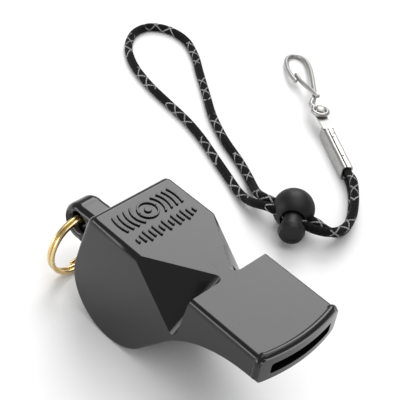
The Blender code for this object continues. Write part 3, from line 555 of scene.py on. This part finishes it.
hollow = draw_outline("hollow", (1.1, -1.6), [
    ("line", 23.0, -1.6), ("line", 23.0, -4.0), ("line", 21.5, -8.0), ("line", 19.0, -13.9),
    ("line", 14.9, -19.0), ("line", 17.145, -20.363), ("arc", 7.5, -14.1, -140.0, 60),
    ("line", -1.0, -15.3), ("line", -1.0, -12.1)])
thicken(hollow, BODY_WIDTH / 2.0 - WALL)
for hand in (-1.0, 1.0):
    cut(hollow, notch("skin", hand, WALL, 0.0))
cut(moulding, hollow)

MOUTH = (-3.9, -1.6)
slot = block("mouth", (34.0, -7.3, MOUTH[0]), (46.0, 7.3, MOUTH[1]))
soften(slot, 0.5 * MM, 4)
cut(moulding, slot)
for rear, left, right in ((20.0, -2.0, 2.0), (23.5, -7.3, -3.4), (23.5, 3.4, 7.3)):
    cut(moulding, block("wind_way", (rear, left, MOUTH[0]), (35.2, right, MOUTH[1])))

for hand in (-1.0, 1.0):
    slant = Vector((0.472, 0.7295 * hand, 0.494)).normalized()
    valley_low = Vector((24.0, 9.5 * hand, -11.9)) * MM
    valley_high = Vector((24.8, 1.6 * hand, 0.0)) * MM
    line = (valley_low - valley_high).normalized()
    across = slant.cross(line).normalized()
    if across.x > 0.0:
        across = -across
    window = block("window", (-3.1, -0.55, -2.2), (3.1, 0.55, 2.2))
    pose = Matrix((line, across, slant)).transposed().to_4x4()
    pose.translation = valley_high.lerp(valley_low, 0.5) + across * 2.4 * MM
    settle(window, pose)
    cut(moulding, window)

def turn(name, start, moves, steps):
    """Turns a profile round Z: it is drawn from the axis outwards and back, then spun."""
    piece = draw_outline(name, start, moves)
    bpy.ops.object.mode_set(mode="EDIT")
    bpy.ops.mesh.select_all(action="SELECT")
    bpy.ops.mesh.delete(type="ONLY_FACE")
    bpy.ops.mesh.select_all(action="SELECT")
    bpy.ops.mesh.spin(steps=steps, angle=2.0 * math.pi, center=(0.0, 0.0, 0.0), axis=(0, 0, 1))
    bpy.ops.mesh.select_all(action="SELECT")
    bpy.ops.mesh.remove_doubles(threshold=0.002 * MM)
    bpy.ops.mesh.normals_make_consistent(inside=False)
    bpy.ops.mesh.select_all(action="DESELECT")
    bpy.ops.object.mode_set(mode="OBJECT")
    return piece


lug_bore = turn("lug_bore", (0.0, 6.0), [
    ("line", 6.4, 6.0), ("line", 3.0, 2.6), ("arc", 3.3, 1.3, 76.0, 10), ("line", 2.0, 1.0),
    ("line", 2.0, -1.0), ("line", 1.99, -1.3), ("arc", 3.3, -1.3, 76.0, 10), ("line", 6.4, -6.0),
    ("line", 0.0, -6.0)], 72)
settle(lug_bore, Matrix.Translation(Vector((-9.8, 0.0, -12.9)) * MM)
       @ Matrix.Rotation(math.radians(90.0), 4, "X"))
cut(moulding, lug_bore)
smooth(moulding, 32.0)
settle(moulding, Matrix.Translation(roof_edge))

# Moulded ABS: a polished tool leaves a near mirror with a faint ripple from shrinkage, and
# handling adds hair scratches and slightly duller patches.
moulded_abs, tree, shader = blank_material("glossy_moulded_abs")
place = node(tree, "ShaderNodeTexCoord")
patches = node(tree, "ShaderNodeTexNoise", {"Vector": place.outputs["Object"], "Scale": 90.0, "Detail": 3.0})
dull = node(tree, "ShaderNodeMapRange", {"Value": patches.outputs["Fac"], "From Min": 0.3, "From Max": 0.75,
                                         "To Min": 0.12, "To Max": 0.2})
stretch = node(tree, "ShaderNodeMapping", {"Vector": place.outputs["Object"], "Rotation": (0.3, 0.2, 0.6),
                                           "Scale": (150.0, 5000.0, 3000.0)})
hairs = node(tree, "ShaderNodeTexNoise", {"Vector": stretch.outputs["Vector"], "Scale": 1.0, "Detail": 1.0})
scratch = node(tree, "ShaderNodeMapRange", {"Value": hairs.outputs["Fac"], "From Min": 0.68,
                                            "From Max": 0.76})
rough = node(tree, "ShaderNodeMath", {0: scratch.outputs["Result"], 1: 0.1, 2: dull.outputs["Result"]},
             operation="MULTIPLY_ADD")
tree.links.new(rough.outputs[0], shader.inputs["Roughness"])
shade = node(tree, "ShaderNodeMix", {"Factor": patches.outputs["Fac"], 6: srgb("#0b0b0c"),
                                     7: srgb("#111111")}, data_type="RGBA")
tree.links.new(shade.outputs[2], shader.inputs["Base Color"])
ripple = node(tree, "ShaderNodeTexNoise", {"Vector": place.outputs["Object"], "Scale": 500.0, "Detail": 1.0})
bump = node(tree, "ShaderNodeBump", {"Height": ripple.outputs["Fac"], "Strength": 0.25,
                                     "Distance": 0.02 * MM})
tree.links.new(bump.outputs["Normal"], shader.inputs["Normal"])
shader.inputs["IOR"].default_value = 1.45
moulding.data.materials.append(moulded_abs)
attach(moulding, "whistle")
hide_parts("whistle_body")


# ---- Roof emblem ----------------------------------------------------------------------------
# A plain raised device on the roof: a disc that sends out sound waves, above a row of level
# bars.  It is moulded in one with the roof, 0.3 mm high.
EMBLEM_HEIGHT = 0.3
strokes = []


def stroke(name, start, moves, spot):
    """One raised line of the emblem, drawn flat and laid on the roof."""
    piece = thicken(draw_outline(name, start, moves), (EMBLEM_HEIGHT / 2.0 + 0.1) * MM)
    soften(piece, 0.1 * MM, 3, 50.0)
    lay = Matrix.Translation(Vector((spot[0], spot[1], EMBLEM_HEIGHT / 2.0 - 0.1)) * MM)
    settle(piece, lay @ Matrix.Rotation(math.radians(90.0), 4, "X"))
    strokes.append(piece)


WAVE_X = 4.8
for radius in (3.2, 4.4, 5.6, 6.8):
    reach = math.degrees(math.asin(2.15 / radius))
    inner, outer = radius - 0.22, radius + 0.22
    for facing in (90.0, 270.0):
        begin = math.radians(facing - reach)
        finish = math.radians(facing + reach)
        stroke("wave", (inner * math.cos(begin), inner * math.sin(begin)), [
            ("arc", 0.0, 0.0, 2.0 * reach, 20),
            ("line", outer * math.cos(finish), outer * math.sin(finish)),
            ("arc", 0.0, 0.0, -2.0 * reach, 20)], (WAVE_X, 0.0))
for begin in (90.0, 270.0):
    first, last = math.radians(begin), math.radians(begin + 179.0)
    stroke("ring_half", (1.68 * math.cos(first), 1.68 * math.sin(first)), [
        ("arc", 0.0, 0.0, 179.0, 24),
        ("line", 2.12 * math.cos(last), 2.12 * math.sin(last)),
        ("arc", 0.0, 0.0, -179.0, 24)], (WAVE_X, 0.0))
stroke("dot", (0.7, 0.0), [("arc", 0.0, 0.0, 350.0, 24)], (WAVE_X, 0.0))
BARS = (0.55, 0.95, 1.35, 0.95, 1.35, 0.75, 1.35, 0.75, 1.35, 0.95, 1.35, 0.95, 0.55)
for index, half in enumerate(BARS):
    across = (index - (len(BARS) - 1) / 2.0) * 1.12
    stroke("bar", (-half, -0.21), [("line", half, -0.21), ("line", half, 0.21), ("line", -half, 0.21)],
           (9.6, across))
bpy.ops.object.select_all(action="DESELECT")
for piece in strokes:
    piece.select_set(True)
bpy.context.view_layer.objects.active = strokes[0]
bpy.ops.object.join()
emblem = bpy.context.active_object
emblem.name = "roof_emblem"
smooth(emblem, 35.0)
settle(emblem, Matrix.Translation(roof_edge))
emblem.data.materials.clear()
emblem.data.materials.append(moulded_abs)
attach(emblem, "whistle")


# ---- Belly plate and chamber core -----------------------------------------------------------
# The curved plate closes the belly between the side walls, with the centre chamber's window at
# its front.  The core behind it splits the hollow in three.  Both are of the same ABS.
belly = draw_outline("belly_cover", (7.5 + 10.3 * math.cos(math.radians(-35.0)),
                                     -14.1 + 10.3 * math.sin(math.radians(-35.0))), [
    ("arc", 7.5, -14.1, -136.0, 64),
    ("line", 7.5 + 8.7 * math.cos(math.radians(-171.0)), -14.1 + 8.7 * math.sin(math.radians(-171.0))),
    ("arc", 7.5, -14.1, 136.0, 64)])
thicken(belly, BODY_WIDTH / 2.0 - WALL - 0.3 * MM)
cut(belly, block("belly_window", (13.6, -2.0, -30.0), (31.6, 2.0, -19.2)))
smooth(belly, 35.0)
settle(belly, Matrix.Translation(roof_edge))
belly.data.materials.append(moulded_abs)
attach(belly, "whistle")
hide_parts("belly_plate")
frame["nodes"]["chamber_core"].data.materials.clear()
frame["nodes"]["chamber_core"].data.materials.append(moulded_abs)


# ---- Split ring -----------------------------------------------------------------------------
# Two close turns of hard brass wire, sprung together, with square-cut ends.  It hangs in the
# lug's flared hole and stands on its lower edge.
ring_middle = roof_edge + Vector((-9.7, -2.8, -17.7)) * MM
RING_RADIUS = 6.2 * MM
RING_PITCH = 0.9 * MM
RING_STEPS = 72
ring_path = []
for index in range(RING_STEPS * 2 + 1):
    angle = math.radians(-90.0) + 2.0 * math.pi * index / RING_STEPS
    shift = RING_PITCH * (index / RING_STEPS - 1.0)
    ring_path.append(ring_middle + Vector((shift, RING_RADIUS * math.cos(angle),
                                           RING_RADIUS * math.sin(angle))))
ring = wire("brass_split_ring", ring_path, 0.42 * MM)
smooth(ring, 50.0)

# Drawn brass: yellow metal with a little dull tarnish in patches.
brass, tree, shader = blank_material("drawn_brass")
place = node(tree, "ShaderNodeTexCoord")
tarnish = node(tree, "ShaderNodeTexNoise", {"Vector": place.outputs["Object"], "Scale": 700.0,
                                            "Detail": 4.0})
gold = node(tree, "ShaderNodeMix", {"Factor": tarnish.outputs["Fac"], 6: srgb("#d2b06a"),
                                    7: srgb("#f0deb0")},
            data_type="RGBA")
tree.links.new(gold.outputs[2], shader.inputs["Base Color"])
sheen = node(tree, "ShaderNodeMapRange", {"Value": tarnish.outputs["Fac"], "To Min": 0.16, "To Max": 0.34})
tree.links.new(sheen.outputs["Result"], shader.inputs["Roughness"])
bump = node(tree, "ShaderNodeBump", {"Height": tarnish.outputs["Fac"], "Strength": 0.3,
                                      "Distance": 0.02 * MM})
tree.links.new(bump.outputs["Normal"], shader.inputs["Normal"])
shader.inputs["Metallic"].default_value = 1.0
ring.data.materials.append(brass)
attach(ring, "ring")
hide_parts("split_ring")


# ---- Cord lock ------------------------------------------------------------------------------
# A ball-shaped barrel and a press button, both of satin black nylon.  The spring pushes the
# button out, so that its cross hole pinches both strands against the barrel's.
press = heading(PLUNGER_HEADING)
cord_hole = LOCK_CENTRE + press * CORD_HOLE_FORWARD
CORD_CLEAR = CORD_DIAMETER / 2.0 + 0.17 * MM


def facing(direction, origin):
    """A matrix at origin whose Z points along a direction."""
    return Matrix.Translation(origin) @ direction.to_track_quat("Z", "Y").to_matrix().to_4x4()


def cord_way(half_gap, centre):
    """The flat-sided round-ended hole that both strands share, along the cord."""
    middle = half_gap / MM
    clear = CORD_CLEAR / MM
    piece = draw_outline("cord_way", (middle, -clear), [
        ("arc", middle, 0.0, 180.0, 24), ("line", -middle, clear), ("arc", -middle, 0.0, 180.0, 24)])
    thicken(piece, 15.0 * MM)
    turned_to = Matrix.Rotation(math.radians(CORD_HEADING - 90.0), 4, "Z")
    settle(piece, Matrix.Translation(centre) @ turned_to)
    return piece


barrel = turn("lock_barrel", (0.0, 4.4), [("arc", 0.0, 0.0, -180.0, 48)], 96)
bore = turn("bore", (0.0, -3.4), [("line", 2.5, -3.4), ("line", 2.5, 3.35), ("line", 3.0, 3.85),
                                  ("line", 3.0, 8.0), ("line", 0.0, 8.0)], 96)
cut(barrel, bore)
settle(barrel, facing(press, LOCK_CENTRE))
cut(barrel, cord_way(STRAND_OFFSET, cord_hole))
smooth(barrel, 35.0)

plunger = turn("lock_plunger", (0.0, 7.72), [
    ("line", 1.5, 7.72), ("line", 1.75, 7.88), ("arc", 2.2, 7.3, -52.0, 6), ("line", 2.78, 7.1),
    ("line", 2.8, 6.75), ("arc", 2.5, 6.7, -90.0, 5), ("line", 2.2, 6.4), ("line", 2.2, -0.75),
    ("line", 2.05, -0.9), ("line", 0.0, -0.9)], 96)
settle(plunger, facing(press, LOCK_CENTRE))
cut(plunger, cord_way(STRAND_OFFSET + 0.7 * MM, cord_hole + press * 0.85 * MM))
smooth(plunger, 35.0)

# Moulded nylon: satin, because the tool was spark-eroded, which leaves a fine even grain.
satin_nylon, tree, shader = blank_material("satin_moulded_nylon")
place = node(tree, "ShaderNodeTexCoord")
grain = node(tree, "ShaderNodeTexNoise", {"Vector": place.outputs["Object"], "Scale": 1.0 / (0.25 * MM),
                                          "Detail": 2.0})
cloud = node(tree, "ShaderNodeTexNoise", {"Vector": place.outputs["Object"], "Scale": 160.0, "Detail": 2.0})
shade = node(tree, "ShaderNodeMix", {"Factor": cloud.outputs["Fac"], 6: srgb("#060606"), 7: srgb("#0c0c0d")},
             data_type="RGBA")
tree.links.new(shade.outputs[2], shader.inputs["Base Color"])
satin = node(tree, "ShaderNodeMapRange", {"Value": cloud.outputs["Fac"], "To Min": 0.4, "To Max": 0.55})
tree.links.new(satin.outputs["Result"], shader.inputs["Roughness"])
bump = node(tree, "ShaderNodeBump", {"Height": grain.outputs["Fac"], "Strength": 0.35,
                                      "Distance": 0.02 * MM})
tree.links.new(bump.outputs["Normal"], shader.inputs["Normal"])
shader.inputs["IOR"].default_value = 1.4
for piece, body, solid in ((barrel, "cord_lock", "cord_lock_barrel"),
                           (plunger, "plunger", "cord_lock_plunger")):
    piece.data.materials.append(satin_nylon)
    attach(piece, body)
    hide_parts(solid)


# ---- Clamp, rivet and spring ----------------------------------------------------------------
# A nickel-plated steel strip is rolled round both cord ends and crimped with punch marks.  Its
# flat tongue carries the rivet that the hook turns on.
swivel = {joint["name"]: joint for joint in frame["joints"]}["hook_swivel"]
rivet_spot = Vector(swivel["pos_m"])
SHEET = 0.35
CRIMP_LENGTH = 14.6
CRIMP_HALF = 1.25
CRIMP_TOP = 3.7
HOOK_SLOPE = math.radians(6.9)
rivet_foot = Vector((rivet_spot.x, rivet_spot.y, 0.0))
run = rivet_foot - CLAMP_MOUTH
clamp_pose = (Matrix.Translation(CLAMP_MOUTH)
              @ Matrix.Rotation(math.atan2(run.y, run.x) - math.radians(90.0), 4, "Z"))
half = CRIMP_HALF - SHEET / 2.0
floor_z = 0.05 + SHEET / 2.0
top_z = CRIMP_TOP - SHEET / 2.0
clamp = draw_outline("crimp_sleeve", (-0.376, top_z), [
    ("line", -half + 0.65, top_z), ("arc", -half + 0.65, top_z - 0.65, 90.0, 8),
    ("line", -half, floor_z + 0.75), ("arc", -half + 0.75, floor_z + 0.75, 90.0, 8),
    ("line", half - 0.75, floor_z), ("arc", half - 0.75, floor_z + 0.75, 90.0, 8),
    ("line", half, top_z - 0.4), ("arc", half - 0.4, top_z - 0.4, 90.0, 8),
    ("line", -0.1, top_z)])
bpy.ops.object.mode_set(mode="EDIT")
bpy.ops.mesh.select_mode(type="EDGE")
bpy.ops.mesh.select_all(action="DESELECT")
edit = bmesh.from_edit_mesh(clamp.data)
bmesh.ops.delete(edit, geom=edit.faces[:], context="FACES_ONLY")
SEAM_MIDDLE = -0.238 * MM
seam = [edge for edge in edit.edges
        if abs(sum(vert.co.x for vert in edge.verts) / 2.0 - SEAM_MIDDLE) < 0.01 * MM]
bmesh.ops.delete(edit, geom=seam, context="EDGES")
bmesh.update_edit_mesh(clamp.data)
bpy.ops.mesh.select_all(action="SELECT")
bpy.ops.mesh.extrude_region_move(TRANSFORM_OT_translate={"value": (0.0, CRIMP_LENGTH * MM, 0.0)})
bpy.ops.object.mode_set(mode="OBJECT")
sheet = clamp.modifiers.new("sheet", "SOLIDIFY")
sheet.thickness = SHEET * MM
sheet.offset = 0.0
apply_all(clamp)
soften(clamp, 0.06 * MM, 2, 60.0)

total = run.length / MM
bend_y = CRIMP_LENGTH - 1.2
tip_y = total + 1.6
fall = (tip_y - CRIMP_LENGTH) * math.tan(HOOK_SLOPE)
tongue = draw_outline("tongue", (bend_y, CRIMP_TOP), [
    ("line", CRIMP_LENGTH, CRIMP_TOP), ("line", tip_y, CRIMP_TOP - fall),
    ("line", tip_y, CRIMP_TOP - fall - SHEET), ("line", CRIMP_LENGTH, CRIMP_TOP - SHEET),
    ("line", bend_y, CRIMP_TOP - SHEET)])
thicken(tongue, 1.3 * MM)
shape = draw_outline("tongue_shape", (total, -1.25), [
    ("arc", total, 0.0, 180.0, 32), ("line", bend_y - 1.0, 1.25), ("line", bend_y - 1.0, -1.25)])
thicken(shape, 8.0 * MM)
settle(shape, Matrix.Rotation(math.radians(90.0), 4, "X"))
cut(tongue, shape, "INTERSECT")
settle(tongue, Matrix.Rotation(math.radians(90.0), 4, "Z"))
cut(clamp, tongue, "UNION")
for x, y, z in ((0.75, 11.6, 3.78), (0.05, 10.4, 3.78), (0.95, 5.6, 3.78), (0.15, 3.9, 3.78),
                (-1.35, 9.8, 2.0), (-1.35, 4.6, 2.2)):
    bpy.ops.object.select_all(action="DESELECT")
    bpy.ops.mesh.primitive_uv_sphere_add(segments=24, ring_count=12, radius=0.3 * MM,
                                         location=(x * MM, y * MM, z * MM))
    bpy.ops.object.transform_apply(location=True)
    cut(clamp, bpy.context.active_object)
settle(clamp, clamp_pose)
hook_pose = (Matrix.Translation(rivet_spot) @ Matrix.Rotation(math.radians(142.9), 4, "Z")
             @ Matrix.Rotation(HOOK_SLOPE, 4, "Y"))
bpy.ops.object.select_all(action="DESELECT")
bpy.ops.mesh.primitive_cylinder_add(vertices=48, radius=0.65 * MM, depth=6.0 * MM)
eyelet = bpy.context.active_object
settle(eyelet, hook_pose)
cut(clamp, eyelet)
smooth(clamp, 35.0)

rivet = turn("swivel_rivet_head", (0.0, 1.2), [
    ("line", 0.55, 1.16), ("line", 0.95, 1.04), ("line", 1.25, 0.86), ("line", 1.35, 0.74),
    ("line", 1.3, 0.64), ("line", 0.6, 0.62), ("line", 0.55, 0.5), ("line", 0.55, -1.18),
    ("line", 0.95, -1.2), ("line", 0.95, -1.4), ("line", 0.7, -1.55), ("line", 0.0, -1.6)], 48)
settle(rivet, hook_pose)
smooth(rivet, 40.0)


# Nickel plate: satin and warm grey over rolled steel, whose fine grain still shows through.
nickel, tree, shader = blank_material("bright_nickel_plate")
place = node(tree, "ShaderNodeTexCoord")
grain = node(tree, "ShaderNodeTexNoise", {"Vector": place.outputs["Object"], "Scale": 1.0 / (0.5 * MM),
                                          "Detail": 3.0})
tint = node(tree, "ShaderNodeMix", {"Factor": grain.outputs["Fac"], 6: srgb("#9c9b99"), 7: srgb("#b4b3b1")},
            data_type="RGBA")
tree.links.new(tint.outputs[2], shader.inputs["Base Color"])
polish = node(tree, "ShaderNodeMapRange", {"Value": grain.outputs["Fac"], "To Min": 0.34, "To Max": 0.5})
tree.links.new(polish.outputs["Result"], shader.inputs["Roughness"])
bump = node(tree, "ShaderNodeBump", {"Height": grain.outputs["Fac"], "Strength": 0.2,
                                      "Distance": 0.015 * MM})
tree.links.new(bump.outputs["Normal"], shader.inputs["Normal"])
shader.inputs["Metallic"].default_value = 1.0
for piece, solid in ((clamp, "crimp_clamp"), (rivet, "swivel_rivet")):
    piece.data.materials.append(nickel)
    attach(piece, "lanyard")
    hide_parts(solid)

# Spring steel: grey drawn wire with a light oil film.
spring_steel, tree, shader = blank_material("drawn_spring_steel")
place = node(tree, "ShaderNodeTexCoord")
film = node(tree, "ShaderNodeTexNoise", {"Vector": place.outputs["Object"], "Scale": 900.0, "Detail": 2.0})
grey = node(tree, "ShaderNodeMix", {"Factor": film.outputs["Fac"], 6: srgb("#8c8d90"), 7: srgb("#b4b5b6")},
            data_type="RGBA")
tree.links.new(grey.outputs[2], shader.inputs["Base Color"])
shader.inputs["Metallic"].default_value = 1.0
shader.inputs["Roughness"].default_value = 0.3
frame["nodes"]["cord_lock_spring"].data.materials.clear()
frame["nodes"]["cord_lock_spring"].data.materials.append(spring_steel)


# ---- Hook and gate --------------------------------------------------------------------------
# One bright nickel-plated spring wire, 1.1 mm thick, is bent into an eye round the rivet, a long
# leg, a bend and a blunt tip.  The other end crosses the eye and springs against the tip.
def on_hook(spots):
    """Points in the hook's own plane, placed in the frame."""
    return [hook_pose @ (Vector(spot) * MM) for spot in spots]


def blunt(points, radius):
    """Shares of the full radius that round both ends of a wire."""
    length = sum((b - a).length for a, b in zip(points, points[1:]))
    shares, here = [], 0.0
    for index, spot in enumerate(points):
        if index:
            here += (spot - points[index - 1]).length
        inside = min(1.0, max(0.02, min(here, length - here) / (radius * 0.9)))
        shares.append(math.sqrt(max(0.05, 1.0 - (1.0 - inside) ** 2)))
    return shares


EYE_RADIUS = 1.65
eye = []
for index in range(13):
    angle = math.radians(62.0 + 236.0 * index / 12.0)
    eye.append((EYE_RADIUS * math.cos(angle), -EYE_RADIUS * math.sin(angle), 0.0))
root = [(4.3, 0.75, 0.9), (3.4, 1.3, 0.65), (2.1, 1.66, 0.25)]
leg = [(3.3, 1.0, 0.0), (5.3, 0.3, 0.0), (8.0, -0.45, 0.0), (12.0, -1.1, 0.0), (17.0, -1.8, 0.0),
       (21.0, -2.1, 0.0), (23.6, -1.9, 0.0), (25.4, -1.1, 0.0), (26.2, 0.1, 0.0), (25.9, 1.4, 0.0),
       (24.7, 2.5, 0.0), (22.8, 3.2, 0.0), (20.4, 3.5, 0.0), (17.6, 3.5, 0.0),
       (15.2, 3.2, 0.0), (13.3, 2.75, 0.0)]
hook_path, _ = smooth_route(on_hook(root + eye + leg), 0.22 * MM)
hook = wire("bent_hook_wire", hook_path, 0.55 * MM, blunt(hook_path, 0.55 * MM))
gate_path, _ = smooth_route(on_hook([
    (4.55, -0.61, 0.98), (5.3, -0.2, 1.17), (7.0, 0.35, 1.12), (9.0, 0.9, 0.88), (11.5, 1.3, 0.35),
    (14.0, 1.65, 0.0), (17.2, 2.1, 0.0)]), 0.2 * MM)
gate = wire("sprung_gate_leg", gate_path, 0.506 * MM, blunt(gate_path, 0.506 * MM))
for piece, body, solid in ((hook, "hook", "hook_wire"), (gate, "gate", "hook_gate")):
    smooth(piece, 50.0)
    piece.data.materials.append(nickel)
    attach(piece, body)
    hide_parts(solid)
